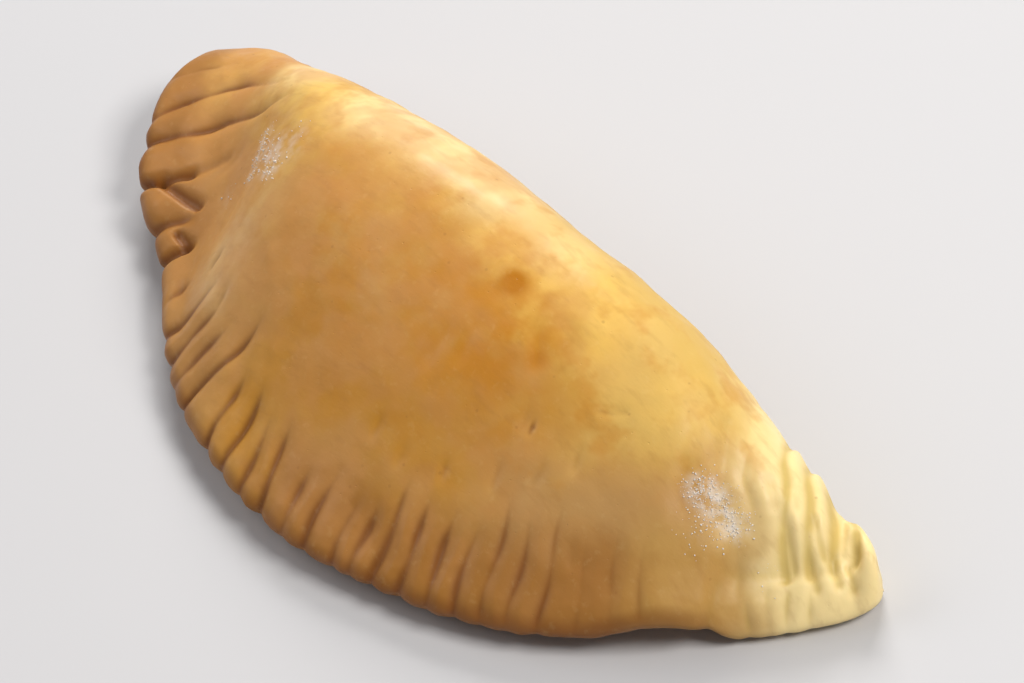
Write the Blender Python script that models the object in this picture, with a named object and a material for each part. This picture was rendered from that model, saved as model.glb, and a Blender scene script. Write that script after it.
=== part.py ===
"""A baked half-moon empanada lying on its flat base.

A disc of dough is folded over a filling. The fold is the high, rounded back edge (+Y), and along the
front (-Y) the two layers are sealed in a thin rim, which a fork has pressed into ridges. X runs from
tip to tip. The filling is shut in and never seen, so the pastry is one solid.

The body is worked out on rays that fan forward from a point behind the fold. A ray crosses the pastry
from the rim to the fold, and a place on it is given by d, the distance in from the rim, and by a, the
length of rim between the left tip and the ray. All sizes are in millimetres until MM turns them into
metres.
"""

import bmesh
import bpy
import numpy as np

NAME = "empanada"
MM = 0.001

# Plan outline, from the left tip along the crimped rim to the right tip, and back along the fold.
RIM_POINTS = (
    (-82.6, -5.3), (-77.6, -15), (-69.6, -23.8), (-56.3, -31), (-46.5, -39.2), (-30, -48.5),
    (0, -54.5), (35, -46), (55, -30.8), (71.3, -11), (75, -2.5),
)
FOLD_POINTS = ((70, 2.2), (37, 8.3), (-15, 9.3), (-55, 9.3), (-76.5, 9.3), (-82, 3.5))
FAN_CENTRE = (-17, 64)

# Body
CREST_HEIGHT = 37.0
CREST_AT = 0.48          # share of the fan's angle, from the left tip
LEFT_FALL = (2.3, 1.0)   # how blunt the crest line is, and how full, towards each tip
RIGHT_FALL = (2.3, 0.66)
FOLD_RADIUS = 15.0       # width of the rounded back, on top
FOLD_TIGHT = (0.3, 75)   # share of that width at the left tip, and the rim length where it ends
FOLD_MIDDLE = 0.42       # height of its widest point, as a share of the crest height
BASE_RADIUS = 11.0       # the same below
SHOULDER = 0.85          # how early the top rises from the rim
FULLNESS = 0.62          # 0 leaves the rim flat, 1 rounds the body right down to it

# Rim
RIM_THICKNESS = 4.2
RIM_EDGE = 2.8           # radius of the rim's rounded edge
RIM_LIFT = 2.5           # the rim curls up off the table
LIFT_WIDTH = 15.0
ARCH_AT = 177.0          # a stretch of rim that arches higher: its middle, half width and rise
ARCH_HALF = 12.0
ARCH_RISE = 2.2
LIP_FROM = 184.0         # from here to the right tip the rim lies on the table
LIP_FALLS = 6.0          # over this length
TIP_THIN = 9.0           # the tips thin out over this much width
KNOB_AT = 211.5          # the rounded lump that ends the right tip: its middle, half width and rise
KNOB_HALF = 5.5
KNOB_RISE = 2.4
LEFT_CURL = 5.2          # how far the left tip stands up, and the share of the rim that curls
LEFT_CURL_SHARE = 0.24
RIGHT_CURL = 0.5
RIGHT_CURL_SHARE = 0.1

# Flat rim at the left tip, as the two pressed layers are wider there
FLANGE_WIDTH = 16.0
FLANGE_FADES = (30, 50)  # from which rim length, and over what length
FLANGE_CLIMB = 0.33
FLANGE_BEND = 8.0        # radius of the bend where the body rises from it

# Each press of the fork: the rim length at its first groove, the gap between grooves, their number,
# their depth, where they begin and end in from the rim, how they lean to the right on the way in, and
# how much more they bend that way from BEND_FROM on.
FORK_PRESSES = (
    dict(first=14.0, gap=7.5, count=1, depth=0.7, reach=(-2, 12), lean=-0.1, bend=0.0),
    dict(first=21.8, gap=6.7, count=3, depth=1.3, reach=(-2, 27), lean=0.05, bend=0.06),
    dict(first=45.2, gap=6.0, count=1, depth=1.2, reach=(-2, 10), lean=0.05, bend=0.0),
    dict(first=60.8, gap=6.0, count=1, depth=0.8, reach=(0, 6), lean=0.0, bend=0.0),
    dict(first=67.2, gap=5.1, count=3, depth=0.9, reach=(-2, 13), lean=0.42, bend=0.0),
    dict(first=82.4, gap=5.0, count=1, depth=1.8, reach=(-2, 18), lean=0.45, bend=0.0),
    dict(first=91.5, gap=5.6, count=2, depth=1.6, reach=(-2, 11), lean=0.0, bend=0.0),
    dict(first=102.6, gap=5.0, count=2, depth=1.6, reach=(-2, 12.5), lean=-0.08, bend=0.0),
    dict(first=113.3, gap=4.9, count=2, depth=1.7, reach=(-2, 10), lean=0.13, bend=0.0),
    dict(first=124.0, gap=3.6, count=2, depth=1.5, reach=(-2, 9), lean=0.08, bend=0.0),
    dict(first=131.4, gap=4.7, count=4, depth=1.35, reach=(-2, 13), lean=0.12, bend=0.0),
    dict(first=150.2, gap=4.6, count=3, depth=0.95, reach=(-1, 17), lean=0.08, bend=0.0),
    dict(first=165.0, gap=4.8, count=3, depth=0.6, reach=(-1, 12), lean=0.05, bend=0.0),
    dict(first=196.9, gap=3.9, count=4, depth=0.7, reach=(1.5, 60), lean=-0.02, bend=0.0),
)
GROOVE_WIDTH = 1.5       # half width of a groove
BEND_FROM = 12.0
RIDGE_SWELL = 0.3        # how far the dough between grooves stands up, as a share of their depth
SCALLOP = 0.8            # how far a groove pushes the rim's edge in, as a share of its depth
FOLD_BITE = 1.3          # the same at the fold

# Mesh
STATIONS = 172
AROUND = 28
LOOP_STEPS = 90


def smooth_loop(points, steps):
    """A closed curve through the points, spaced by the square root of their distance."""
    here = np.array(points, float)
    after = np.roll(here, -1, 0)
    before = np.roll(here, 1, 0)
    gap = np.sqrt(np.hypot(*(after - here).T))[:, None]
    last = np.roll(gap, 1, 0)
    slope = ((here - before) / last * gap + (after - here) / gap * last) / (gap + last)
    start = slope * gap
    end = np.roll(slope, -1, 0) * gap
    t = np.linspace(0, 1, steps, endpoint=False)[:, None, None]
    curve = (2 * t**3 - 3 * t**2 + 1) * here + (t**3 - 2 * t**2 + t) * start
    curve = curve + (3 * t**2 - 2 * t**3) * after + (t**3 - t**2) * end
    return curve.transpose(1, 0, 2).reshape(-1, 2)


def ease(t):
    """0 to 1 with flat ends."""
    t = np.clip(t, 0, 1)
    return t * t * (3 - 2 * t)


def quarter_round(t):
    """0 to 1 as a quarter of a circle, steep at 0."""
    t = np.clip(t, 0, 1)
    return np.sqrt(1 - (1 - t) ** 2)


def soft_step(past, share):
    """0 before the end of the flat rim and the distance past it after, with a round bend between."""
    bend = FLANGE_BEND * share
    return (past + np.sqrt(past**2 + bend**2)) / 2


class Fan:
    """The rays, one to a station: where each meets the rim and the fold."""

    def __init__(self, stations):
        outline = smooth_loop(RIM_POINTS + FOLD_POINTS, LOOP_STEPS)
        x, y = (outline - FAN_CENTRE).T
        angle = np.arctan2(x, -y)
        radius = np.hypot(x, y)
        left, right = angle.argmin(), angle.argmax()
        front = np.arange(left, right + 1 + len(outline) * (right < left)) % len(outline)
        back = np.arange(right, left + 1 + len(outline) * (left < right)) % len(outline)
        back = back[::-1]
        rim_length = np.concatenate([[0], np.cumsum(np.hypot(*np.diff(outline[front], axis=0).T))])
        self.along = np.linspace(0, rim_length[-1], stations)
        rim = np.array([np.interp(self.along, rim_length, outline[front][:, k]) for k in (0, 1)])
        reach = rim - np.array(FAN_CENTRE)[:, None]
        self.rim = np.hypot(*reach)
        self.direction = reach / self.rim
        ray = np.arctan2(reach[0], -reach[1])
        fold = np.interp(ray, np.maximum.accumulate(angle[back]), radius[back])
        self.length = np.maximum(self.rim - fold, 0)
        self.length[[0, -1]] = 0
        self.share = (ray - ray[0]) / (ray[-1] - ray[0])


def crest_share(share):
    """Height of the crest line, 0 at the tips and 1 at its top."""
    left = np.clip((CREST_AT - share) / CREST_AT, 0, 1)
    right = np.clip((share - CREST_AT) / (1 - CREST_AT), 0, 1)
    blunt, full = LEFT_FALL
    rise_left = (1 - left**blunt) ** full
    blunt, full = RIGHT_FALL
    rise_right = (1 - right**blunt) ** full
    return np.where(share < CREST_AT, rise_left, rise_right)


def fork_marks(a, d):
    """Depth of the fork's grooves, and rise of the dough between them, at rim length a and d in."""
    groove = np.zeros_like(a)
    swell = np.zeros_like(a)
    for press in FORK_PRESSES:
        begin, end = press["reach"]
        run = end - max(begin, 0)
        starts = ease((d - begin) / 2)
        first = press["first"] + press["lean"] * d + press["bend"] * np.maximum(d - BEND_FROM, 0) ** 2
        half = press["gap"] * press["count"] / 2
        middle = first + press["gap"] * (press["count"] - 1) / 2
        window = ease((half + 2 - np.abs(a - middle)) / 4) * starts * ease((end - d) / (0.7 * run))
        swell = np.maximum(swell, RIDGE_SWELL * press["depth"] * window)
        fade = starts * ease((end - d) / (0.45 * run))
        for i in range(press["count"]):
            across = (a - first - i * press["gap"]) / GROOVE_WIDTH
            groove = np.maximum(groove, press["depth"] * fade * np.exp(-(across**2)))
    return groove, swell


def surface(fan, station, turn):
    """Points of the skin: turn runs from 0 at the rim, over the top, to 1 at the fold, and to 2 below."""
    length = fan.length[station]
    share = fan.share[station]
    a = fan.along[station]
    rim_share = a / fan.along[-1]
    d = length * (1 - np.cos(np.pi * turn)) / 2

    curl = LEFT_CURL * (1 - ease(rim_share / LEFT_CURL_SHARE))
    curl += RIGHT_CURL * (1 - ease((1 - rim_share) / RIGHT_CURL_SHARE))
    lift = RIM_LIFT + ARCH_RISE * (1 - ease(np.abs(a - ARCH_AT) / ARCH_HALF))
    lift = lift * ease(length / 20) * (1 - 0.9 * ease((a - LIP_FROM) / LIP_FALLS))
    knob = KNOB_RISE * (1 - ease(np.abs(a - KNOB_AT) / KNOB_HALF)) * quarter_round(length / 6)
    thickness = RIM_THICKNESS * quarter_round(length / TIP_THIN) + knob
    rim_top = curl + lift + thickness
    rim_middle = curl + lift + thickness / 2
    rise = crest_share(share)
    crest = rim_top + (CREST_HEIGHT - rim_top) * rise
    fold_middle = rim_middle + (FOLD_MIDDLE * CREST_HEIGHT - rim_middle) * rise

    # Over the top: the rim, flat at the left tip, the slope of the filled body, then the rounded fold.
    tight, opened = FOLD_TIGHT
    fold_radius = FOLD_RADIUS * (tight + (1 - tight) * ease(a / opened))
    top_fold = length - np.minimum(fold_radius, 0.5 * length)
    fade_from, fade_over = FLANGE_FADES
    flat_share = 1 - ease((a - fade_from) / fade_over)
    flange = np.minimum(FLANGE_WIDTH * flat_share, 0.6 * top_fold)
    flange_top = rim_top + np.minimum(FLANGE_CLIMB * np.minimum(d, flange), 0.6 * (crest - rim_top))
    whole = np.maximum(soft_step(top_fold - flange, flat_share), 1e-6)
    slope = np.clip(soft_step(d - flange, flat_share) / whole, 0, 1)
    full = FULLNESS * (1 - 0.6 * flat_share)
    flare = 0.5 - 0.5 * np.cos(np.pi * slope**SHOULDER)
    top = flange_top + (crest - flange_top) * (full * np.sin(np.pi * slope / 2) + (1 - full) * flare)
    top = top - (rim_top - rim_middle) * (1 - quarter_round(d / RIM_EDGE))
    over = np.clip((d - top_fold) / np.maximum(length - top_fold, 1e-6), 0, 1)
    rounded = np.sqrt(1 - over**2)
    top = np.where(d < top_fold, top, fold_middle + (crest - fold_middle) * rounded)

    # A groove pushes the top down, the rim's edge in, which scallops it, and the fold's edge in too.
    groove, swell = fork_marks(a, d)
    groove = groove * quarter_round(length / TIP_THIN)
    swell = swell * quarter_round(length / TIP_THIN)
    top = top - (groove - swell) * quarter_round(d / RIM_EDGE) * rounded
    inward = (SCALLOP * groove - swell) * (1 - ease(d / 4)) - FOLD_BITE * groove * over**2

    # Below: the lifted rim comes down to the flat base, which rounds up into the fold.
    base_fold = length - np.minimum(BASE_RADIUS, 0.4 * length)
    bottom = curl + lift * (1 - ease(d / np.maximum(np.minimum(LIFT_WIDTH, 0.45 * length), 1e-6)))
    bottom = rim_middle + (bottom - rim_middle) * quarter_round(d / RIM_EDGE)
    over = np.clip((d - base_fold) / np.maximum(length - base_fold, 1e-6), 0, 1)
    bottom = np.where(d < base_fold, bottom, fold_middle - (fold_middle - curl) * np.sqrt(1 - over**2))

    reach = fan.rim[station] - d - inward
    x = FAN_CENTRE[0] + reach * fan.direction[0][station]
    y = FAN_CENTRE[1] + reach * fan.direction[1][station]
    return np.stack([x, y, np.where(turn <= 1, top, bottom)], axis=-1)


def make_body(collection):
    """A sphere with its poles at the tips, each point moved onto the pastry's skin."""
    mesh = bpy.data.meshes.new(NAME)
    bm = bmesh.new()
    bmesh.ops.create_uvsphere(bm, u_segments=AROUND, v_segments=STATIONS - 1, radius=1)
    ball = np.array([vert.co for vert in bm.verts])
    station = np.rint(np.arccos(np.clip(ball[:, 2], -1, 1)) / np.pi * (STATIONS - 1)).astype(int)
    turn = (np.arctan2(ball[:, 1], ball[:, 0]) / np.pi) % 2
    skin = surface(Fan(STATIONS), station, turn)
    low, high = skin.min(axis=0), skin.max(axis=0)
    skin -= [(low[0] + high[0]) / 2, (low[1] + high[1]) / 2, low[2]]
    for vert, place in zip(bm.verts, skin * MM):
        vert.co = place
    bmesh.ops.recalc_face_normals(bm, faces=bm.faces)
    bm.to_mesh(mesh)
    bm.free()
    mesh.shade_smooth()
    body = bpy.data.objects.new(NAME, mesh)
    collection.objects.link(body)
    return body


def make_crust():
    """Golden, egg-washed shortcrust."""
    crust = bpy.data.materials.new("crust")
    crust.use_nodes = True
    shader = crust.node_tree.nodes["Principled BSDF"]
    shader.inputs["Base Color"].default_value = (0.60, 0.36, 0.13, 1)
    shader.inputs["Roughness"].default_value = 0.5
    shader.inputs["Metallic"].default_value = 0.0
    return crust


def main():
    for old in list(bpy.data.objects):
        bpy.data.objects.remove(old, do_unlink=True)
    collection = bpy.data.collections.new(NAME)
    bpy.context.scene.collection.children.link(collection)
    body = make_body(collection)
    body.data.materials.append(make_crust())


main()
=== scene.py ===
import math

import bpy
import numpy as np
from mathutils import Euler, Matrix, Vector, noise


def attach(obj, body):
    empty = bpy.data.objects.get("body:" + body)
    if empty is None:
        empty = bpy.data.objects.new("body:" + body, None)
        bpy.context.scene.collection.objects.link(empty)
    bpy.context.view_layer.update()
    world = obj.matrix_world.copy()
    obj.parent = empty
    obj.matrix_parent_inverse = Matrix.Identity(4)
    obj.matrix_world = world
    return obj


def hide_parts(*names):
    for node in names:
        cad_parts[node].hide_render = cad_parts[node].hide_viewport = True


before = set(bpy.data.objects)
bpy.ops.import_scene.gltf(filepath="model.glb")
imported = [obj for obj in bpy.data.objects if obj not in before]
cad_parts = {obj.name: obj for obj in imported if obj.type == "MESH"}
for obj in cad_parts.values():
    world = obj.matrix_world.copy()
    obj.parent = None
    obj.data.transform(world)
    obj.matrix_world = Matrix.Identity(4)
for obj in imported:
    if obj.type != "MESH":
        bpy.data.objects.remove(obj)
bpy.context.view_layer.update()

mm = 0.001
bpy.ops.object.select_all(action="DESELECT")

# The dough in plan and in section, in millimetres, on the same fan of rays as the solid:
# a is the length of rim from the left tip, d the distance in from the rim.
dough = {
    "rim": ((-82.6, -5.3), (-77.6, -15.0), (-69.6, -23.8), (-56.3, -31.0), (-46.5, -39.2),
            (-30, -48.5), (0, -54.5), (35, -46), (55, -30.8), (71.3, -11), (75, -2.5)),
    "fold": ((70, 2.2), (37, 8.3), (-15, 9.3), (-55, 9.3), (-76.5, 9.3), (-82, 3.5)),
    "fanCentre": (-17, 64),
    "crestHeight": 37.0,
    "crestAt": 0.48,                 # share of the fan's angle at which it is highest
    "leftFall": (2.3, 1.0),          # how blunt and how steep the crest falls to each tip
    "rightFall": (2.3, 0.66),
    "foldRadius": 15.0,              # how far in from the back the crest rounds over
    "foldTight": (0.3, 75),          # its share of that at the left tip, and from where it is whole
    "foldMiddle": 0.42,              # height of the fold's outermost line, as a share of the crest
    "baseRadius": 11.0,              # the same below, where the fold meets the table
    "shoulder": 0.85,                # below 1 the body rises sooner
    "fullness": 0.62,                # 0 leaves the rim flat, 1 rounds the body right down to it
    "rimThickness": 4.2,
    "rimEdge": 2.8,                  # how far in its edge is rounded
    "rimLift": 2.5,
    "liftFrom": 20,                  # rays shorter than this are lifted less
    "liftWidth": 15.0,
    "liftedAt": (177, 12, 2.2),      # a stretch of rim that arches off the table: half width and rise
    "lip": (184, 6, 0.9),            # where the rim lies down, over what length, how much of its lift
    "tipThin": 9.0,                  # rays shorter than this have a thinner rim and fainter grooves
    "tipKnob": (211.5, 5.0, 3.3, 6.0),    # lump on the right tip: place, half width, rise, edge
    "flange": (16.0, 30, 50, 0.33),  # flat rim at the left tip: width, from where and over what
                                     # length it fades, and how it climbs
    "flangeBend": 8.0,               # length over which it turns up into the body
    "flatBody": 0.6,                 # how much of the fullness is lost beside it
    "leftCurl": (5.2, 0.24),         # rise of each tip, and the share of the rim that it takes
    "rightCurl": (0.5, 0.1),
    "atMost": {"foldRadius": 0.5, "flange": 0.6, "flangeRise": 0.6, "baseRadius": 0.4,
               "liftWidth": 0.45},   # share of a short ray or of a low crest that each may take
    "rimNotch": (0.8, 4.0),          # share of its depth by which a groove notches the rim, how far in
    "foldNotch": 1.3,                # the same for the fold
    "underside": (3.5, 9.0),         # how far from the rim and from the fold it begins
    "stations": 600,                 # rings of points from tip to tip
    "around": 160,                   # points in a ring
    "topShare": 0.74,                # share of them that lies on top
    "loopSteps": 90,                 # steps between two points of the outline
}

# Grooves that the tines of the fork left, group by group: where along the rim, how far apart and how
# many, how deep and wide, from where to where inwards, and how much each leans to the right on the
# way in. Some bend as well, wander more, or raise the dough beside them less
forkPresses = (
    dict(first=14.2, gap=8.0, count=1, depth=0.5, width=0.8, reach=(0, 13), lean=0.3, swell=0.1),
    dict(first=22.0, gap=8.0, count=1, depth=1.0, width=0.8, reach=(-2, 27), lean=0.1, bend=0.035,
         swell=0.1),
    dict(first=27.3, gap=8.0, count=1, depth=1.25, width=0.85, reach=(-2, 27), lean=0.34, bend=0.025,
         swell=0.1),
    dict(first=44.4, gap=6.0, count=1, depth=1.2, width=0.85, reach=(-2, 9), lean=0.35, swell=0.1),
    dict(first=60.8, gap=6.0, count=1, depth=0.8, width=0.8, reach=(0, 6), lean=0.0),
    dict(first=67.2, gap=5.1, count=3, depth=0.9, width=0.95, reach=(-2, 13), lean=0.42),
    dict(first=82.4, gap=5.0, count=1, depth=1.8, width=0.9, reach=(-2, 18), lean=0.45),
    dict(first=91.5, gap=5.6, count=2, depth=1.15, width=0.95, reach=(-2, 11), lean=0.0),
    dict(first=102.6, gap=5.0, count=2, depth=0.95, width=0.95, reach=(-2, 12.5), lean=-0.08),
    dict(first=113.3, gap=4.9, count=2, depth=0.9, width=0.95, reach=(-2, 10), lean=0.13),
    dict(first=124.0, gap=3.6, count=2, depth=0.75, width=0.85, reach=(-2, 9), lean=0.08),
    dict(first=131.4, gap=4.7, count=4, depth=0.85, width=0.9, reach=(-2, 13), lean=0.12),
    dict(first=150.2, gap=4.6, count=3, depth=0.6, width=0.95, reach=(-1, 17), lean=0.08),
    dict(first=165.0, gap=4.8, count=3, depth=0.45, width=1.1, reach=(-1, 12), lean=0.05),
    dict(first=190.4, gap=3.4, count=4, depth=0.4, width=0.8, reach=(-1, 4.4), lean=0.05, wander=0.5),
    dict(first=196.6, gap=3.8, count=4, depth=1.05, width=1.15, reach=(3, 60), lean=0.1),
)

# What all the grooves have in common, in millimetres or as shares
tines = {
    "lengthSpread": 0.14,        # how unlike each other they are
    "depthSpread": 0.25,
    "placeSeed": 40,             # which of the scattered values shift them and make them deeper
    "depthSeed": 80,
    "wander": 0.3,               # how far a groove strays sideways and in depth on its way
    "strayWave": 0.5,            # radians in a millimetre
    "depthWave": (0.6, 2.1),     # the same, and how much it is ahead from one to the next
    "bendFrom": 8.0,
    "sharpness": 1.3,            # of the valley: 1 is a crease, 2 a round trough
    "shoulder": (0.4, 2.6),      # share and width of the soft slopes beside the narrow valley
    "runIn": 2.0,                # length over which a groove starts
    "runOut": 0.45,              # share of its length over which it ends
    "swell": 0.25,               # share of its depth by which the dough between is raised
    "swellRunOut": 0.7,
    "swellEdge": (2.0, 4.0),     # how far it reaches past the outer grooves, and how soft it ends
}

# Single creases and dents, each from one place to another: along the rim and in from it. A depth below
# 0 is a pad that stands up. The bottom of each is painted darker as painted shade, by the amount given
# with it; where none is given, by its depth over its width
creases = (
    dict(start=(135, 33), end=(134.5, 29), depth=0.2, width=1.6, paintedShade=0.0),
    dict(start=(129.5, 30.6), end=(128.6, 26.5), depth=0.2, width=1.6, paintedShade=0.0),
    dict(start=(148.5, 34.5), end=(149.8, 30.8), depth=0.35, width=1.8, paintedShade=0.0),
    dict(start=(34.4, -1), end=(36.6, 4), depth=2.2, width=0.85),
    dict(start=(36.6, 4), end=(39, 9), depth=1.3, width=0.8),
    dict(start=(39, 9), end=(41.8, 15), depth=0.5, width=1.0),
    dict(start=(38.2, 4.8), end=(46, 8.4), depth=1.2, width=0.85),
    dict(start=(48.8, 4.1), end=(52.6, 5.2), depth=1.1, width=0.75),
    dict(start=(52.6, 5.2), end=(51.2, -0.5), depth=1.4, width=0.8),
    dict(start=(41.5, 2.5), end=(42, 4.6), depth=-0.3, width=2.4),
    dict(start=(48, 2), end=(48.3, 3.3), depth=-0.25, width=1.6),
    dict(start=(43.5, 13.5), end=(43.8, 16), depth=0.4, width=1.6),
    dict(start=(65.8, 10.5), end=(66.2, 12), depth=0.5, width=0.9),
    dict(start=(164.5, 25.6), end=(169.6, 25.2), depth=0.2, width=0.55, paintedShade=0.4),
    dict(start=(152.2, 22.7), end=(152.4, 23.2), depth=0.35, width=0.7, paintedShade=0.8),
    dict(start=(76.2, 11), end=(76.4, 11.6), depth=0.5, width=1.1),
    dict(start=(163.3, 8), end=(163, 9.5), depth=0.35, width=1.2),
    dict(start=(180.6, 14), end=(181, 17), depth=0.5, width=1.8),
    dict(start=(191, 16.5), end=(192.6, 13), depth=0.5, width=1.2),
    dict(start=(189.4, 5.2), end=(189.8, 6.2), depth=0.5, width=1.3),
    dict(start=(184.5, -1), end=(186.5, 4.5), depth=0.7, width=1.4),
    dict(start=(186.8, 12), end=(188.5, 24), depth=0.45, width=1.6),
    dict(start=(200.4, 19), end=(201.6, 34), depth=-0.5, width=1.7),
    dict(start=(204.0, 14), end=(205.2, 28), depth=-0.5, width=1.6),
    dict(start=(206.4, 6.5), end=(207.4, 18), depth=1.8, width=1.8, paintedShade=0.4),
    dict(start=(191.5, 18), end=(193, 34), depth=0.45, width=1.5),
    dict(start=(187.5, 6.3), end=(206, 4.2), depth=0.45, width=1.1),
    dict(start=(189, 2.6), end=(204, 2.2), depth=-0.35, width=1.6),
    dict(start=(194.5, 9), end=(194.8, 13), depth=-0.4, width=1.8),
    dict(start=(198.6, 5.5), end=(197.8, 10), depth=0.7, width=1.0),
    dict(start=(196.3, 12.5), end=(195.8, 15.5), depth=0.5, width=1.2),
    dict(start=(199.8, 12), end=(199.5, 15), depth=0.5, width=1.1),
    dict(start=(201.8, 2.8), end=(201.2, 5.5), depth=0.7, width=0.9),
    dict(start=(203.4, 6.2), end=(202.6, 10), depth=0.7, width=1.0),
    dict(start=(205.2, 2.8), end=(204.4, 6), depth=0.7, width=0.9),
    dict(start=(207.4, 1.8), end=(207, 4.6), depth=0.65, width=0.9),
    dict(start=(208.6, 3.5), end=(208, 8), depth=0.5, width=1.0),
    dict(start=(129.5, 14.2), end=(129.8, 15), depth=0.35, width=1.1),
    dict(start=(138.2, 14.8), end=(138.2, 15.4), depth=0.35, width=0.9),
    dict(start=(147.6, 15.6), end=(147.9, 17.4), depth=0.4, width=1.1),
    dict(start=(154.8, 17), end=(155.6, 18), depth=0.4, width=1.2),
    dict(start=(161.5, 19), end=(161.7, 20), depth=0.35, width=1.1),
    dict(start=(150.5, 23), end=(150.9, 24), depth=0.35, width=1.1),
    dict(start=(123.2, 15.8), end=(123.3, 17), depth=0.35, width=1.0),
)
# how sharp the edges of creases are, and how strongly their bottoms are painted dark as shade
creaseEdge = {"sharpness": 1.8, "paintedShade": 0.9}


def smoothLoop(points, steps):
    # a closed curve through the points, spaced by the square root of their distance
    here = np.array(points, float)
    after = np.roll(here, -1, 0)
    before = np.roll(here, 1, 0)
    gap = np.sqrt(np.hypot(*(after - here).T))[:, None]
    last = np.roll(gap, 1, 0)
    slope = ((here - before) / last * gap + (after - here) / gap * last) / (gap + last)
    start = slope * gap
    end = np.roll(slope, -1, 0) * gap
    t = np.linspace(0, 1, steps, endpoint=False)[:, None, None]
    curve = (2 * t**3 - 3 * t**2 + 1) * here + (t**3 - 2 * t**2 + t) * start
    curve = curve + (3 * t**2 - 2 * t**3) * after + (t**3 - t**2) * end
    return curve.transpose(1, 0, 2).reshape(-1, 2)


def ease(t):
    t = np.clip(t, 0, 1)
    return t * t * (3 - 2 * t)


def quarterRound(t):
    t = np.clip(t, 0, 1)
    return np.sqrt(1 - (1 - t) ** 2)


def softStep(past, share):
    # 0 before the end of the flat rim and the distance past it after, with a round bend between
    bend = dough["flangeBend"] * share
    return (past + np.sqrt(past**2 + bend**2)) / 2


def layFan(stations):
    # the rays: where each meets the rim and the fold
    outline = smoothLoop(dough["rim"] + dough["fold"], dough["loopSteps"])
    centre = np.array(dough["fanCentre"], float)
    x, y = (outline - centre).T
    angle = np.arctan2(x, -y)
    radius = np.hypot(x, y)
    left, right = angle.argmin(), angle.argmax()
    front = np.arange(left, right + 1 + len(outline) * (right < left)) % len(outline)
    back = np.arange(right, left + 1 + len(outline) * (left < right)) % len(outline)
    back = back[::-1]
    rimLength = np.concatenate([[0], np.cumsum(np.hypot(*np.diff(outline[front], axis=0).T))])
    along = np.linspace(0, rimLength[-1], stations)
    rim = np.array([np.interp(along, rimLength, outline[front][:, k]) for k in (0, 1)])
    reach = rim - centre[:, None]
    rimRadius = np.hypot(*reach)
    ray = np.arctan2(reach[0], -reach[1])
    fold = np.interp(ray, np.maximum.accumulate(angle[back]), radius[back])
    length = np.maximum(rimRadius - fold, 0)
    length[[0, -1]] = 0
    share = (ray - ray[0]) / (ray[-1] - ray[0])
    return dict(along=along, rim=rimRadius, direction=reach / rimRadius, length=length, share=share)


def crestShare(share):
    at = dough["crestAt"]
    left = np.clip((at - share) / at, 0, 1)
    right = np.clip((share - at) / (1 - at), 0, 1)
    blunt, full = dough["leftFall"]
    riseLeft = (1 - left**blunt) ** full
    blunt, full = dough["rightFall"]
    riseRight = (1 - right**blunt) ** full
    return np.where(share < at, riseLeft, riseRight)


def uneven(number):
    # the same scattered value from -1 to 1 each time for a whole number
    turn, stretch = 12.9898, 437.58
    return 2 * math.modf(abs(math.sin(number * turn) * stretch))[0] - 1


def slant(press, d):
    # how far to the right a groove has gone at the distance d
    return press["lean"] * d + press.get("bend", 0) * np.maximum(d - tines["bendFrom"], 0) ** 2


def fadeAlong(d, begin, end, runOut):
    return ease((d - begin) / tines["runIn"]) * ease((end - d) / (runOut * (end - max(begin, 0))))


def grooveDepth(a, d):
    # a narrow valley with wide shoulders, so that the dough between two grooves stands up round, and
    # the thin line at its bottom, which is painted dark as shade
    deepest, line01 = np.zeros_like(a), np.zeros_like(a)
    share, wide = tines["shoulder"]
    wave, ahead = tines["depthWave"]
    number = 0
    for press in forkPresses:
        for i in range(press["count"]):
            number += 1
            begin, end = press["reach"]
            end *= 1 + tines["lengthSpread"] * uneven(number)
            fade = fadeAlong(d, begin, end, tines["runOut"])
            wander = press.get("wander", tines["wander"])
            line = press["first"] + i * press["gap"] + wander * uneven(number + tines["placeSeed"])
            line = line + slant(press, d) + wander * np.sin(tines["strayWave"] * d + number)
            depth = press["depth"] * (1 + tines["depthSpread"] * uneven(number + tines["depthSeed"]))
            depth = depth * (1 + wander * np.sin(wave * d + ahead * number))
            across = np.abs(a - line) / press["width"]
            narrow = np.exp(-(across ** tines["sharpness"]))
            valley = (1 - share) * narrow + share * np.exp(-((across / wide) ** 2))
            deepest = np.maximum(deepest, depth * fade * valley)
            line01 = np.maximum(line01, fade * narrow * np.minimum(depth, 1))
    return deepest, line01


def ridgeSwell(a, d):
    # the dough that the tines pushed aside stands up over the whole press
    swell = np.zeros_like(a)
    past, soft = tines["swellEdge"]
    for press in forkPresses:
        begin, end = press["reach"]
        half = press["gap"] * press["count"] / 2
        middle = press["first"] + slant(press, d) + press["gap"] * (press["count"] - 1) / 2
        window = ease((half + past - np.abs(a - middle)) / soft)
        window = window * fadeAlong(d, begin, end, tines["swellRunOut"])
        swell = np.maximum(swell, press.get("swell", tines["swell"]) * press["depth"] * window)
    return swell


def creaseDepth(a, d):
    total, line01 = np.zeros_like(a), np.zeros_like(a)
    for crease in creases:
        (a0, d0), (a1, d1) = crease["start"], crease["end"]
        run = np.hypot(a1 - a0, d1 - d0)
        t = np.clip(((a - a0) * (a1 - a0) + (d - d0) * (d1 - d0)) / run**2, 0, 1)
        away = np.hypot(a - a0 - t * (a1 - a0), d - d0 - t * (d1 - d0)) / crease["width"]
        near = np.exp(-(away ** creaseEdge["sharpness"]))
        total += crease["depth"] * near
        # the bottom is painted darker as shade, the more so the deeper and narrower the crease
        steep = creaseEdge["paintedShade"] * crease["depth"] / crease["width"]
        line01 = np.maximum(line01, near * crease.get("paintedShade", min(max(steep, 0), 1)))
    return total, line01


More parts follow.
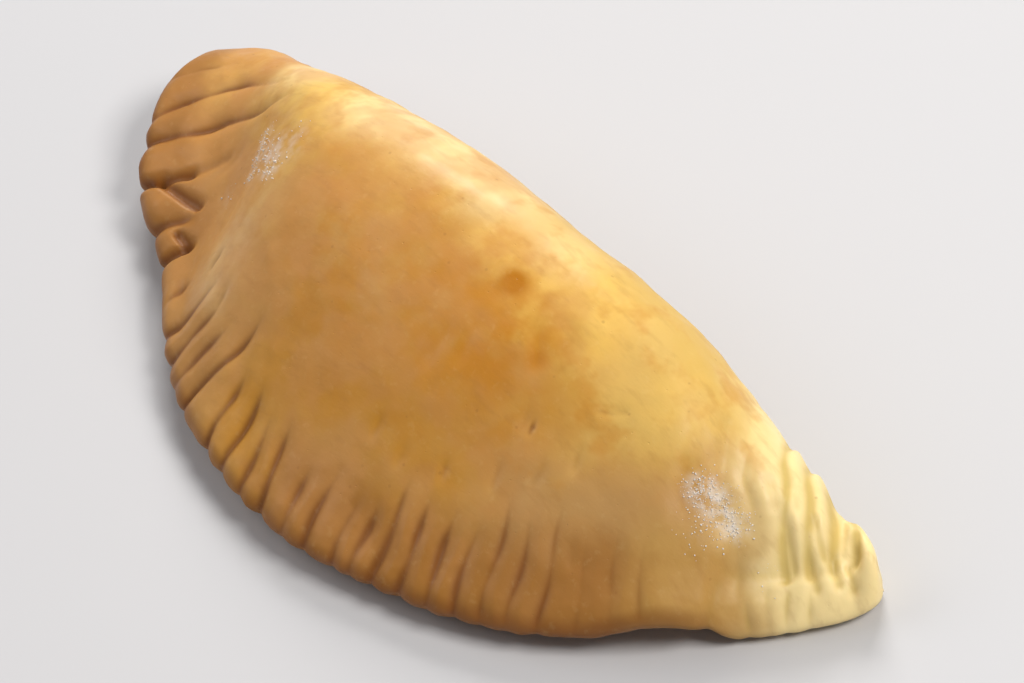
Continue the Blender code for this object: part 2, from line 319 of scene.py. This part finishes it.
def skinPoints(fan, station, turn):
    # turn runs from 0 at the rim, over the top, to 1 at the fold, and to 2 below
    length = fan["length"][station]
    share = fan["share"][station]
    a = fan["along"][station]
    rimShare = a / fan["along"][-1]
    d = length * (1 - np.cos(np.pi * turn)) / 2

    # heights along the rim, the crest and the fold
    curl = dough["leftCurl"][0] * (1 - ease(rimShare / dough["leftCurl"][1]))
    curl += dough["rightCurl"][0] * (1 - ease((1 - rimShare) / dough["rightCurl"][1]))
    archAt, archWidth, archRise = dough["liftedAt"]
    lift = dough["rimLift"] + archRise * (1 - ease(np.abs(a - archAt) / archWidth))
    lipFrom, lipOver, lipDown = dough["lip"]
    lift = lift * ease(length / dough["liftFrom"]) * (1 - lipDown * ease((a - lipFrom) / lipOver))
    thin = quarterRound(length / dough["tipThin"])
    thickness = dough["rimThickness"] * thin
    knobAt, knobWidth, knobRise, knobEdge = dough["tipKnob"]
    knob = knobRise * (1 - ease(np.abs(a - knobAt) / knobWidth)) * quarterRound(length / knobEdge)
    rimTop = curl + lift + thickness + knob
    rimMiddle = curl + lift + (thickness + knob) / 2
    rise = crestShare(share)
    crest = rimTop + (dough["crestHeight"] - rimTop) * rise
    foldMiddle = rimMiddle + (dough["foldMiddle"] * dough["crestHeight"] - rimMiddle) * rise

    # the top, from the rim over the crest to the fold
    atMost = dough["atMost"]
    tight, opened = dough["foldTight"]
    foldRadius = dough["foldRadius"] * (tight + (1 - tight) * ease(a / opened))
    topFold = length - np.minimum(foldRadius, atMost["foldRadius"] * length)
    width, fadeFrom, fadeOver, climb = dough["flange"]
    flatShare = 1 - ease((a - fadeFrom) / fadeOver)
    flange = np.minimum(width * flatShare, atMost["flange"] * topFold)
    flangeRise = np.minimum(climb * np.minimum(d, flange), atMost["flangeRise"] * (crest - rimTop))
    flangeTop = rimTop + flangeRise
    past = softStep(d - flange, flatShare) / np.maximum(softStep(topFold - flange, flatShare), 1e-6)
    slope = np.clip(past, 0, 1)
    full = dough["fullness"] * (1 - dough["flatBody"] * flatShare)
    flare = 0.5 - 0.5 * np.cos(np.pi * slope ** dough["shoulder"])
    top = flangeTop + (crest - flangeTop) * (full * np.sin(np.pi * slope / 2) + (1 - full) * flare)
    top = top - (rimTop - rimMiddle) * (1 - quarterRound(d / dough["rimEdge"]))
    over = np.clip((d - topFold) / np.maximum(length - topFold, 1e-6), 0, 1)
    top = np.where(d < topFold, top, foldMiddle + (crest - foldMiddle) * np.sqrt(1 - over**2))

    # the underside, from the rim to the fold
    baseFold = length - np.minimum(dough["baseRadius"], atMost["baseRadius"] * length)
    liftWidth = np.maximum(np.minimum(dough["liftWidth"], atMost["liftWidth"] * length), 1e-6)
    bottom = curl + lift * (1 - ease(d / liftWidth))
    bottom = rimMiddle + (bottom - rimMiddle) * quarterRound(d / dough["rimEdge"])
    under = np.clip((d - baseFold) / np.maximum(length - baseFold, 1e-6), 0, 1)
    bottom = np.where(d < baseFold, bottom, foldMiddle - (foldMiddle - curl) * np.sqrt(1 - under**2))

    # grooves cut into the top, the rim and the fold
    pressed, pressedLine = grooveDepth(a, d)
    creased, creasedLine = creaseDepth(a, d)
    groove = (pressed + creased) * thin
    swell = ridgeSwell(a, d) * thin
    top = top - (groove - swell) * quarterRound(d / dough["rimEdge"]) * np.sqrt(1 - over**2)
    notch, notchWidth = dough["rimNotch"]
    inward = (notch * groove - swell) * (1 - ease(d / notchWidth))
    inward = inward - dough["foldNotch"] * groove * over**2
    reach = fan["rim"][station] - d - inward
    x = dough["fanCentre"][0] + reach * fan["direction"][0][station]
    y = dough["fanCentre"][1] + reach * fan["direction"][1][station]
    isTop = turn <= 1
    places = np.stack([x, y, np.where(isTop, top, bottom)], axis=-1)
    # how strongly the bottoms of grooves and creases are painted dark as shade
    line01 = np.where(isTop, np.maximum(pressedLine, creasedLine) * thin, 0)
    fromRim, fromFold = dough["underside"]
    below = np.where(isTop, 0, ease(d / fromRim) * ease((length - d) / fromFold))
    return places, a, d, line01, below


# Lumps and wrinkles of the skin: size and height of each, in millimetres
skinRelief = {
    "lumps": (26.0, 0.55),
    "dents": (9.0, 0.22),
    "ripples": (3.2, 0.09),
    "grain": (1.3, 0.03),
    "shift": (3.1, 5.7, 2.9),    # which part of the noise they are cut from
    "shiftStep": 11.3,
    "blisters": 150,
    "blisterSize": (0.8, 2.4),
    "blisterHeight": (0.04, 0.16),
    "blisterSeed": 7,
    "baseCalm": 0.35,            # how much of it the flat base keeps
    "tableCalm": 1.5,            # the height below which it dies away
}


def reliefAt(places):
    # places are in metres
    total = np.zeros(len(places))
    for k, name in enumerate(("lumps", "dents", "ripples", "grain")):
        size, height = skinRelief[name]
        x, y, z = skinRelief["shift"]
        shift = Vector((skinRelief["shiftStep"] * k + x, y, z))
        total += [height * noise.noise(Vector(p) / (size * mm) + shift) for p in places]
    scatter = np.random.default_rng(skinRelief["blisterSeed"])
    for centre in scatter.choice(len(places), skinRelief["blisters"], replace=False):
        size = scatter.uniform(*skinRelief["blisterSize"]) * mm
        height = scatter.uniform(*skinRelief["blisterHeight"])
        away = places - places[centre]
        total += height * np.exp(-np.einsum("ij,ij->i", away, away) / size**2)
    return total


def readFromPoints(values, name):
    # three numbers for each point
    numbers = np.empty(len(values) * 3, np.float32)
    values.foreach_get(name, numbers)
    return numbers.reshape(-1, 3)


def placePoints(piece, places):
    piece.data.vertices.foreach_set("co", places.astype(np.float32).ravel())


def storeOnPoints(piece, name, values):
    layer = piece.data.attributes.new(name, "FLOAT", "POINT")
    layer.data.foreach_set("value", np.asarray(values, np.float32))


def makePastry():
    stations, around = dough["stations"], dough["around"]
    bpy.ops.mesh.primitive_uv_sphere_add(segments=around, ring_count=stations - 1, radius=1)
    pastry = bpy.context.object
    pastry.name = pastry.data.name = "pastry"
    ball = readFromPoints(pastry.data.vertices, "co").astype(float)
    station = np.rint(np.arccos(np.clip(ball[:, 2], -1, 1)) / np.pi * (stations - 1)).astype(int)
    round01 = (np.arctan2(ball[:, 1], ball[:, 0]) / (2 * np.pi)) % 1
    topShare = dough["topShare"]
    turn = np.where(round01 <= topShare, round01 / topShare, 1 + (round01 - topShare) / (1 - topShare))
    skin, a, d, line01, below = skinPoints(layFan(stations), station, turn)
    low, high = skin.min(axis=0), skin.max(axis=0)
    skin -= [(low[0] + high[0]) / 2, (low[1] + high[1]) / 2, low[2]]
    skin *= mm
    placePoints(pastry, skin)
    bpy.ops.object.mode_set(mode="EDIT")
    bpy.ops.mesh.select_all(action="SELECT")
    bpy.ops.mesh.normals_make_consistent(inside=False)
    bpy.ops.object.mode_set(mode="OBJECT")

    outward = readFromPoints(pastry.data.vertex_normals, "vector")
    keep = 1 - (1 - skinRelief["baseCalm"]) * below
    keep = keep * ease(skin[:, 2] / (skinRelief["tableCalm"] * mm))
    placePoints(pastry, skin + outward * (reliefAt(skin) * keep * mm)[:, None])
    pastry.data.update()
    storeOnPoints(pastry, "alongRim", a)
    storeOnPoints(pastry, "fromRim", d)
    storeOnPoints(pastry, "grooveLine", line01)
    storeOnPoints(pastry, "below", below)
    bpy.ops.object.shade_smooth()
    print("pastry:", len(skin), "points")
    return pastry


# Flour left on the skin, in millimetres: the middle of each patch, its reach, its number of grains and
# how white the dusted skin is between them
flour = {
    "patches": (
        ((-45.5, 11.5, 24.0), 1.8, 34, 0.5),
        ((-44.5, 8.8, 23.0), 1.8, 40, 0.65),
        ((-37.0, 5.2, 27.5), 2.0, 46, 0.6),
        ((-43.5, 6.0, 21.8), 1.8, 34, 0.5),
        ((-40.0, 8.0, 26.5), 3.2, 50, 0.5),
        ((-36.0, 9.5, 30.0), 3.6, 8, 0.25),
        ((-48.5, 4.0, 14.6), 2.0, 7, 0.1),
        ((54.8, 8.4, 19.6), 2.3, 190, 0.8),
        ((57.6, 9.0, 17.4), 2.5, 200, 0.8),
        ((60.5, 9.2, 14.8), 2.0, 110, 0.75),
        ((56.5, 5.0, 13.5), 2.2, 36, 0.3),
        ((67.0, 8.4, 9.0), 2.4, 8, 0.1),
    ),
    "filmReach": 1.7,            # how far that film goes, as a share of the patch's reach
    "grainReach": 2.2,           # and the farthest grain
    "halfSize": (0.06, 0.19),
    "shape": (0.55, 1.1),        # how long each side of a grain is, as a share of that
    "raised": 0.4,               # its middle over the skin, in the same way
    "aside": 0.25,
    "seed": 23,
}


def scatterFlour(pastry):
    # irregular grains, each partly sunk in the skin, joined into one piece
    points = readFromPoints(pastry.data.vertices, "co")
    outward = readFromPoints(pastry.data.vertex_normals, "vector")
    bpy.ops.mesh.primitive_ico_sphere_add(subdivisions=1, radius=mm)
    pattern = bpy.context.object
    scatter = np.random.default_rng(flour["seed"])
    low, high = flour["halfSize"]
    grains = []
    for centre, reach, number, _ in flour["patches"]:
        away = np.linalg.norm(points - np.array(centre) * mm, axis=1)
        near = np.flatnonzero(away < flour["grainReach"] * reach * mm)
        likely = np.exp(-((away[near] / (reach * mm)) ** 2))
        for place in scatter.choice(near, number, p=likely / likely.sum()):
            half = low + (high - low) * scatter.random() ** 2
            aside = np.cross(outward[place], scatter.uniform(-1, 1, 3)) * flour["aside"] * mm
            spot = Vector(points[place] + outward[place] * flour["raised"] * half * mm + aside)
            turn = Euler(scatter.uniform(0, 2 * math.pi, 3)).to_matrix().to_4x4()
            shape = Matrix.Diagonal((*(scatter.uniform(*flour["shape"], 3) * half), 1))
            grain = pattern.copy()
            grain.data = pattern.data.copy()
            grain.data.transform(Matrix.Translation(spot) @ turn @ shape)
            bpy.context.collection.objects.link(grain)
            grains.append(grain)
    bpy.data.objects.remove(pattern, do_unlink=True)
    bpy.ops.object.select_all(action="DESELECT")
    for grain in grains:
        grain.select_set(True)
    bpy.context.view_layer.objects.active = grains[0]
    bpy.ops.object.join()
    dust = bpy.context.object
    dust.name = dust.data.name = "flour"
    bpy.ops.object.select_all(action="DESELECT")
    print("flour:", len(grains), "grains")
    return dust


# Colours of the bake and of the flour, as linear values
bake = {
    "golden": (0.57, 0.285, 0.058),
    "amber": (0.56, 0.25, 0.024),
    "tan": (0.62, 0.315, 0.09),
    "rosy": (0.57, 0.262, 0.075),
    # paler crust toward the fold, with part of the fold's highlight painted in
    "pale": (0.66, 0.43, 0.11),
    "honey": (0.70, 0.45, 0.125),
    "butter": (0.95, 0.75, 0.36),
    "toast": (0.36, 0.150, 0.026),
    "fawn": (0.52, 0.29, 0.10),
    "brown": (0.56, 0.26, 0.065),
    # yellow, partly the crust's own and partly a painted highlight on the dome's top
    "sunny": (0.88, 0.56, 0.12),
    # near white cream, painted as a highlight along the fold's crest
    "cream": (0.95, 0.76, 0.40),
    "scorch": (0.47, 0.170, 0.002),
    # dark brown painted in the bottoms of grooves and creases as painted shade; it also darkens the
    # rim's outer edge
    "crease": (0.20, 0.060, 0.008),
    # olive yellow painted in the bottoms of the grooves at the right end as painted shade
    "strawGrooveShade": (0.56, 0.39, 0.085),
    "orange": (0.55, 0.215, 0.012),
    "freckle": (0.30, 0.11, 0.025),
    "under": (0.34, 0.17, 0.065),
    "flour": (0.82, 0.78, 0.74),
    "flourShade": (0.74, 0.66, 0.56),
}

# Zones of the bake in the order they are laid: the colour, then the edges that bound it. An edge is
# what it is measured by, where it starts, where it is full, how much it wavers and how strong it is,
# in millimetres. x and y are those of the object
bakeZones = (
    ("tan", ("x", -12, -32, 20, 0.85), ("fromRim", 26, 16, 10, 1.0)),
    ("honey", ("alongRim", 148, 176, 30, 0.9), ("fromRim", 13, 24, 10, 1.0)),
    ("fawn", ("alongRim", 140, 154, 16, 0.9), ("fromRim", 23, 14, 10, 1.0)),
    ("toast", ("alongRim", 98, 116, 20, 0.9), ("fromRim", 14, 6, 8, 1.0)),
    ("honey", ("alongRim", 168, 178, 8, 0.4), ("fromRim", 15, 8, 6, 1.0)),
    # the back toward the fold is painted paler: the crust's own paler tone, with part of the fold's
    # highlight painted in
    ("pale", ("y", 9, 24, 14, 0.85)),
    ("butter", ("alongRim", 184, 199, 14, 0.95)),
    ("brown", ("x", -43, -60, 14, 0.95)),
    ("toast", ("alongRim", 54.5, 50.5, 1.5, 0.6), ("fromRim", 12, 7, 3, 1.0)),
)

# Edges of the layers above the spots, in the same way. grooveLine is 1 at the bottom of a groove
bakeEdges = {
    "inland": ("fromRim", 10, 22, 0, 1.0),
    "leftPart": ("alongRim", 165, 145, 10, 1.0),
    "rightEnd": ("alongRim", 180, 192, 0, 1.0),
    "notRightEnd": ("alongRim", 196, 178, 0, 1.0),
    "leftFront": ("alongRim", 90, 80, 6, 0.45),
    "nearRim": ("fromRim", 11, 5, 4, 1.0),
    # painted shade in the bottoms of grooves and creases
    "grooveShade": ("grooveLine", 0.12, 0.9, 0.2, 0.75),
    "rimLine": ("fromRim", 1.6, 0.0, 1.5, 0.6),
}

# Mottles: the size of a patch in millimetres, the noise where it starts and where it is full, the seed
# and the strength
mottles = {
    "amber": (20, 0.36, 0.64, 1.0, 1.0),
    "inSunny": (9, 0.2, 0.7, 21.0, 1.0),
    "inBlush": (6, 0.28, 0.62, 3.0, 1.0),
    "orange": (6.5, 0.50, 0.70, 4.0, 0.42),
    "rosy": (13, 0.44, 0.60, 9.0, 0.45),
    "strokes": (5, 0.52, 0.72, 6.0, 0.16),
    "butterGrain": (1.4, 0.56, 0.75, 12.0, 0.05),
    "flourFilm": (1.8, 0.34, 0.68, 15.0, 1.0),
    "flourShade": (0.8, 0.4, 0.65, 0.0, 1.0),
    "eggWash": (9, 0.35, 0.65, 7.0, 1.0),
}

# Dots in some of the cells of a grid that is all out of line: the size of a cell, the radius of a dot,
# both in millimetres, the share of cells that have one, and the strength
dots = {
    "freckles": (3.1, 0.36, 0.3, 0.26),
    "pits": (1.5, 0.16, 0.4, 1.0),
}

# The way the brush went over the dough: its turn in radians, and how much shorter marks are across it
brushing = {
    "strokes": (0.5, 3.0),
    "eggWash": (0.5, 2.2),
    "wrinkles": (-0.4, 2.6),
}

# Places that the oven caught, and after them the painted shade of three soft dents: middle, reach,
# soft edge and strength, in millimetres
blushesAndDentShade = (
    ((12, 4, 29), 6, 15, 0.75),
    ((18.0, 1.3, 30), 2.2, 6.0, 0.85),
    # the next six lie in pairs along three soft dents and paint their shade in orange brown
    ((24.8, 4.0, 30.0), 0.7, 2.4, 0.90),
    ((23.4, 7.2, 31.6), 0.2, 2.2, 0.50),
    ((14.6, 1.6, 31.0), 0.3, 1.8, 0.35),
    ((15.8, -0.9, 29.4), 0.3, 1.8, 0.30),
    ((11.0, -0.9, 30.2), 0.3, 1.9, 0.35),
    ((10.6, -3.6, 28.6), 0.3, 1.9, 0.30),
    ((7.4, 8.7, 34.9), 0.1, 1.4, 0.60),
    ((4.0, 3.0, 34.0), 0.4, 2.4, 0.30),
    ((-22, 4, 31), 2.0, 8.0, 0.40),
    ((-12, -3, 30), 5.0, 15.0, 0.60),
    ((0, -14, 22), 3.0, 9.0, 0.25),
)

# The darkest of them
scorches = (
    ((14.1, 10.1, 34.2), 1.2, 2.2, 1.0),
    ((25.0, 4.4, 30.2), 0.1, 1.9, 0.45),
)

# Cream laid on in the same way: a painted highlight along the fold's crest, and faint lightening lower
# on the left
creamHighlights = (
    ((-28, 24, 34.5), 4, 10, 0.55),
    ((-14, 25, 36), 4, 10, 0.60),
    ((0, 23, 36), 3, 9, 0.50),
    ((14, 21, 35), 2, 8, 0.35),
    ((-50, 25, 26), 3, 7, 0.40),
    ((-32, 3, 24), 2, 9, 0.16),
    ((-36, -8, 17), 3, 9, 0.18),
)

# Yellow laid on in the same way: partly the crust's own yellow, partly a painted highlight on the
# dome's top
yellowAndHighlightPlaces = (
    ((20, 15, 34), 4, 11, 0.75),
    ((7.5, 13, 35.6), 2, 6, 0.50),
    ((11.5, 4, 32.3), 1, 5, 0.45),
    ((29, 13, 31), 3, 9, 0.5),
    ((-36, 17, 31), 4, 13, 0.65),
    ((-50, 20, 25), 4, 8, 0.5),
    ((-14, 16, 36), 3, 13, 0.5),
    ((45, 12, 26), 4, 10, 0.4),
    ((-66, 23, 17), 3, 9, 0.28),
)

# The order in which they are laid: the places, their colour, the mottle that breaks them up, and how
# wide their soft edge has to be for that
spotLayers = (
    (yellowAndHighlightPlaces, "sunny", "inSunny", 0),
    (creamHighlights, "cream", None, 0),
    (blushesAndDentShade, "orange", "inBlush", 5),
    (scorches, "scorch", None, 0),
)


def addNode(tree, kind, inputs=None, **settings):
    node = tree.nodes.new(kind)
    for name, value in settings.items():
        setattr(node, name, value)
    for name, value in (inputs or {}).items():
        if isinstance(value, bpy.types.NodeSocket):
            tree.links.new(value, node.inputs[name])
        else:
            node.inputs[name].default_value = value
    return node


def rampBetween(tree, value, low, high):
    # 0 below low, 1 above high, and the other way round where low is the higher
    node = addNode(tree, "ShaderNodeMapRange", {"Value": value, "From Min": low, "From Max": high},
                   interpolation_type="SMOOTHSTEP")
    return node.outputs["Result"]


def doMath(tree, operation, first, second):
    node = addNode(tree, "ShaderNodeMath", {0: first, 1: second}, operation=operation)
    return node.outputs["Value"]


def both(tree, first, second):
    return doMath(tree, "MULTIPLY", first, second)


def mottle(tree, coords, name):
    size, low, high, seed, strength = mottles[name]
    moved = addNode(tree, "ShaderNodeMapping",
                    {"Vector": coords, "Location": (seed, seed * 0.7, -seed)})
    cloud = addNode(tree, "ShaderNodeTexNoise",
                    {"Vector": moved.outputs["Vector"], "Scale": 1 / (size * mm), "Detail": 3,
                     "Roughness": 0.55})
    return both(tree, rampBetween(tree, cloud.outputs["Fac"], low, high), strength)


def mixColour(tree, mask, under, over):
    node = addNode(tree, "ShaderNodeMix", data_type="RGBA")
    for socket, value in zip((node.inputs[0], node.inputs[6], node.inputs[7]), (mask, under, over)):
        if isinstance(value, bpy.types.NodeSocket):
            tree.links.new(value, socket)
        elif isinstance(value, tuple):
            socket.default_value = (*value, 1)
        else:
            socket.default_value = value
    return node.outputs[2]


def spotMask(tree, coords, centre, radius, soft):
    # a round spot, centre, radius and soft edge in millimetres
    away = addNode(tree, "ShaderNodeVectorMath", {0: coords, 1: tuple(c * mm for c in centre)},
                   operation="SUBTRACT")
    reach = addNode(tree, "ShaderNodeVectorMath", {0: away.outputs["Vector"]}, operation="LENGTH")
    return rampBetween(tree, reach.outputs["Value"], (radius + soft) * mm, radius * mm)


def dotMask(tree, coords, name):
    apart, radius, share, strength = dots[name]
    core, soft = 0.4, 0.05       # the part of a dot that is full, and how sharply its cell is picked
    cells = addNode(tree, "ShaderNodeTexVoronoi", {"Vector": coords, "Scale": 1 / (apart * mm)})
    near = rampBetween(tree, cells.outputs["Distance"], radius / apart, core * radius / apart)
    pick = addNode(tree, "ShaderNodeSeparateColor", {"Color": cells.outputs["Color"]}).outputs["Red"]
    return both(tree, both(tree, near, rampBetween(tree, pick, share, share - soft)), strength)


def brushed(tree, coords, name):
    # coordinates for marks that are longer one way
    turn, shorter = brushing[name]
    node = addNode(tree, "ShaderNodeMapping",
                   {"Vector": coords, "Rotation": (0, 0, turn), "Scale": (1, shorter, 1)})
    return node.outputs["Vector"]


def readAttribute(tree, name):
    node = addNode(tree, "ShaderNodeAttribute", attribute_name=name, attribute_type="GEOMETRY")
    return node.outputs["Fac"]


def layBake(tree, coords):
    # the colour of the crust, from the whole body down to its specks
    place = addNode(tree, "ShaderNodeSeparateXYZ", {"Vector": coords})
    measures = {"x": place.outputs["X"], "y": place.outputs["Y"]}
    for name in ("alongRim", "fromRim", "grooveLine", "below"):
        measures[name] = readAttribute(tree, name)
    wobble = addNode(tree, "ShaderNodeTexNoise", {"Vector": coords, "Scale": 90, "Detail": 4})
    wobble = doMath(tree, "SUBTRACT", wobble.outputs["Fac"], 0.5)

    def edge(name, start, full, waver, strength):
        unit = mm if name in ("x", "y") else 1
        wavy = doMath(tree, "ADD", measures[name], both(tree, wobble, waver * unit))
        return both(tree, rampBetween(tree, wavy, start * unit, full * unit), strength)

    def within(edges):
        mask = edge(*edges[0])
        for other in edges[1:]:
            mask = both(tree, mask, edge(*other))
        return mask

    def bounded(*names):
        return within([bakeEdges[name] for name in names])

    colour = mixColour(tree, mottle(tree, coords, "amber"), bake["golden"], bake["amber"])
    for name, *edges in bakeZones:
        colour = mixColour(tree, within(edges), colour, bake[name])
    for places, name, brokenBy, softest in spotLayers:
        for centre, reach, soft, strength in places:
            spot = spotMask(tree, coords, centre, reach, soft)
            if brokenBy and soft > softest:
                spot = both(tree, spot, mottle(tree, coords, brokenBy))
            colour = mixColour(tree, both(tree, spot, strength), colour, bake[name])

    for name, where in (("orange", "inland"), ("rosy", "leftPart")):
        mask = both(tree, mottle(tree, coords, name), bounded(where))
        colour = mixColour(tree, mask, colour, bake[name])
    strokes = mottle(tree, brushed(tree, coords, "strokes"), "strokes")
    colour = mixColour(tree, strokes, colour, bake["toast"])
    colour = mixColour(tree, bounded("leftFront", "nearRim"), colour, bake["toast"])
    # painted shade in the bottoms of grooves and creases: dark brown, and olive yellow at the right
    # end
    grooveShade = mixColour(tree, bounded("rightEnd"), bake["crease"], bake["strawGrooveShade"])
    colour = mixColour(tree, bounded("grooveShade"), colour, grooveShade)
    colour = mixColour(tree, bounded("rimLine", "notRightEnd"), colour, bake["crease"])
    colour = mixColour(tree, measures["below"], colour, bake["under"])
    colour = mixColour(tree, dotMask(tree, coords, "freckles"), colour, bake["freckle"])
    colour = mixColour(tree, mottle(tree, coords, "butterGrain"), colour, bake["butter"])

    film = mottle(tree, coords, "flourFilm")
    for centre, reach, _, white in flour["patches"]:
        dusted = both(tree, spotMask(tree, coords, centre, 0, flour["filmReach"] * reach), white)
        colour = mixColour(tree, both(tree, dusted, film), colour, bake["flour"])
    return colour


# The finish of the crust and of the flour: what is the same all over goes on the shader's own sockets
crustFinish = {
    "shader": {"Specular IOR Level": 0.32, "Subsurface Weight": 0.05,
               "Subsurface Radius": (1.0, 0.5, 0.25), "Subsurface Scale": 0.0015},
    "roughness": (0.40, 0.58),       # where the egg wash lies thick, and where it is thin
    "wrinkles": (420, 0.07, 0.0005),      # scale, strength and depth in metres
    "pits": (0.35, 0.0002),
    "grain": (1500, 0.08, 0.0002),
}
flourFinish = {"Roughness": 0.85, "Subsurface Weight": 0.2, "Subsurface Radius": (1.0, 0.8, 0.6),
               "Subsurface Scale": 0.0004}


def startMaterial(name, finish):
    material = bpy.data.materials.new(name)
    material.use_nodes = True
    shader = material.node_tree.nodes["Principled BSDF"]
    for socket, value in finish.items():
        shader.inputs[socket].default_value = value
    return material, material.node_tree, shader


def addBump(tree, height, strength, depth, over=None, invert=False):
    # over is the normal of a coarser bump below this one
    inputs = {"Height": height, "Strength": strength, "Distance": depth}
    if over is not None:
        inputs["Normal"] = over
    return addNode(tree, "ShaderNodeBump", inputs, invert=invert).outputs["Normal"]


def fineNoise(tree, coords, scale):
    node = addNode(tree, "ShaderNodeTexNoise",
                   {"Vector": coords, "Scale": scale, "Detail": 4, "Roughness": 0.6})
    return node.outputs["Fac"]


def makeCrust():
    crust, tree, shader = startMaterial("bakedCrust", crustFinish["shader"])
    coords = addNode(tree, "ShaderNodeTexCoord").outputs["Object"]
    tree.links.new(layBake(tree, coords), shader.inputs["Base Color"])

    wash = mottle(tree, brushed(tree, coords, "eggWash"), "eggWash")
    thick, thin = crustFinish["roughness"]
    rough = addNode(tree, "ShaderNodeMapRange", {"Value": wash, "To Min": thick, "To Max": thin})
    tree.links.new(rough.outputs["Result"], shader.inputs["Roughness"])

    scale, strength, depth = crustFinish["wrinkles"]
    wrinkles = fineNoise(tree, brushed(tree, coords, "wrinkles"), scale)
    normal = addBump(tree, wrinkles, strength, depth)
    strength, depth = crustFinish["pits"]
    normal = addBump(tree, dotMask(tree, coords, "pits"), strength, depth, over=normal, invert=True)
    scale, strength, depth = crustFinish["grain"]
    normal = addBump(tree, fineNoise(tree, coords, scale), strength, depth, over=normal)
    tree.links.new(normal, shader.inputs["Normal"])
    return crust


def makeFlourPowder():
    powder, tree, shader = startMaterial("flourPowder", flourFinish)
    coords = addNode(tree, "ShaderNodeTexCoord").outputs["Object"]
    colour = mixColour(tree, mottle(tree, coords, "flourShade"), bake["flour"], bake["flourShade"])
    tree.links.new(colour, shader.inputs["Base Color"])
    return powder


# The camera, the floor and the lights: degrees, metres and watts
studio = {
    "viewAzimuth": 55.0,
    "viewElevation": 47.0,
    "viewRoll": -9.0,
    "viewDistance": 0.968,
    "lens": 224.0,
    "target": (0.0036, -0.0028, 0.0150),   # what the angles are measured from
    "aim": (0.0101, 0.0111, 0.0175),       # what sits in the middle of the view
    "floorSize": 12,
    "floor": {"Base Color": (0.56, 0.56, 0.58, 1), "Roughness": 0.6},
    "softboxes": (   # azimuth, elevation, distance, size, power, colour
        ("keyWindow", 116, 50, 1.2, (0.5, 0.4), 11, (1.0, 0.97, 0.92)),
        ("backWindow", 222, 36, 1.3, (0.6, 0.5), 11, (1.0, 0.98, 0.95)),
        ("fillPanel", 300, 40, 1.5, (1.3, 0.9), 7.5, (1.0, 0.98, 0.96)),
    ),
    "room": {"Color": (0.97, 0.97, 1.0, 1), "Strength": 0.2},
}


def backOf(azimuth, elevation):
    a, e = math.radians(azimuth), math.radians(elevation)
    return Vector((math.sin(a) * math.cos(e), -math.cos(a) * math.cos(e), math.sin(e)))


def makeCamera():
    back = backOf(studio["viewAzimuth"], studio["viewElevation"])
    place = Vector(studio["target"]) + back * studio["viewDistance"]
    bpy.ops.object.camera_add(location=place)
    camera = bpy.context.object
    camera.name = "mainView"
    turn = (Vector(studio["aim"]) - place).to_track_quat("-Z", "Y").to_matrix().to_4x4()
    turn = turn @ Matrix.Rotation(math.radians(studio["viewRoll"]), 4, "Z")
    camera.rotation_euler = turn.to_euler()
    camera.data.lens = studio["lens"]
    camera.data.sensor_width = 36
    camera.data.clip_start = 0.01
    camera.data.clip_end = 50
    bpy.context.scene.camera = camera


def makeFloor():
    bpy.ops.mesh.primitive_plane_add(size=studio["floorSize"], location=(0, 0, 0))
    floor = bpy.context.object
    floor.name = "paleFloor"
    paint, _, _ = startMaterial("paleFloorPaint", studio["floor"])
    floor.data.materials.append(paint)


def addSoftbox(name, azimuth, elevation, distance, size, power, colour):
    back = backOf(azimuth, elevation)
    bpy.ops.object.light_add(type="AREA", location=back * distance)
    lamp = bpy.context.object
    lamp.name = name
    lamp.rotation_euler = (-back).to_track_quat("-Z", "Y").to_euler()
    lamp.data.shape = "RECTANGLE"
    lamp.data.size, lamp.data.size_y = size
    lamp.data.energy = power
    lamp.data.color = colour


def lightStudio():
    for softbox in studio["softboxes"]:
        addSoftbox(*softbox)
    room = bpy.data.worlds.new("paleRoom")
    room.use_nodes = True
    for socket, value in studio["room"].items():
        room.node_tree.nodes["Background"].inputs[socket].default_value = value
    bpy.context.scene.world = room
    bpy.context.scene.view_settings.view_transform = "Standard"
    print("studio:", len(studio["softboxes"]), "lights")


pastry = makePastry()
pastry.data.materials.append(makeCrust())
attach(pastry, "root")
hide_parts("empanada")
dust = scatterFlour(pastry)
dust.data.materials.append(makeFlourPowder())
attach(dust, "root")
makeFloor()
lightStudio()
makeCamera()
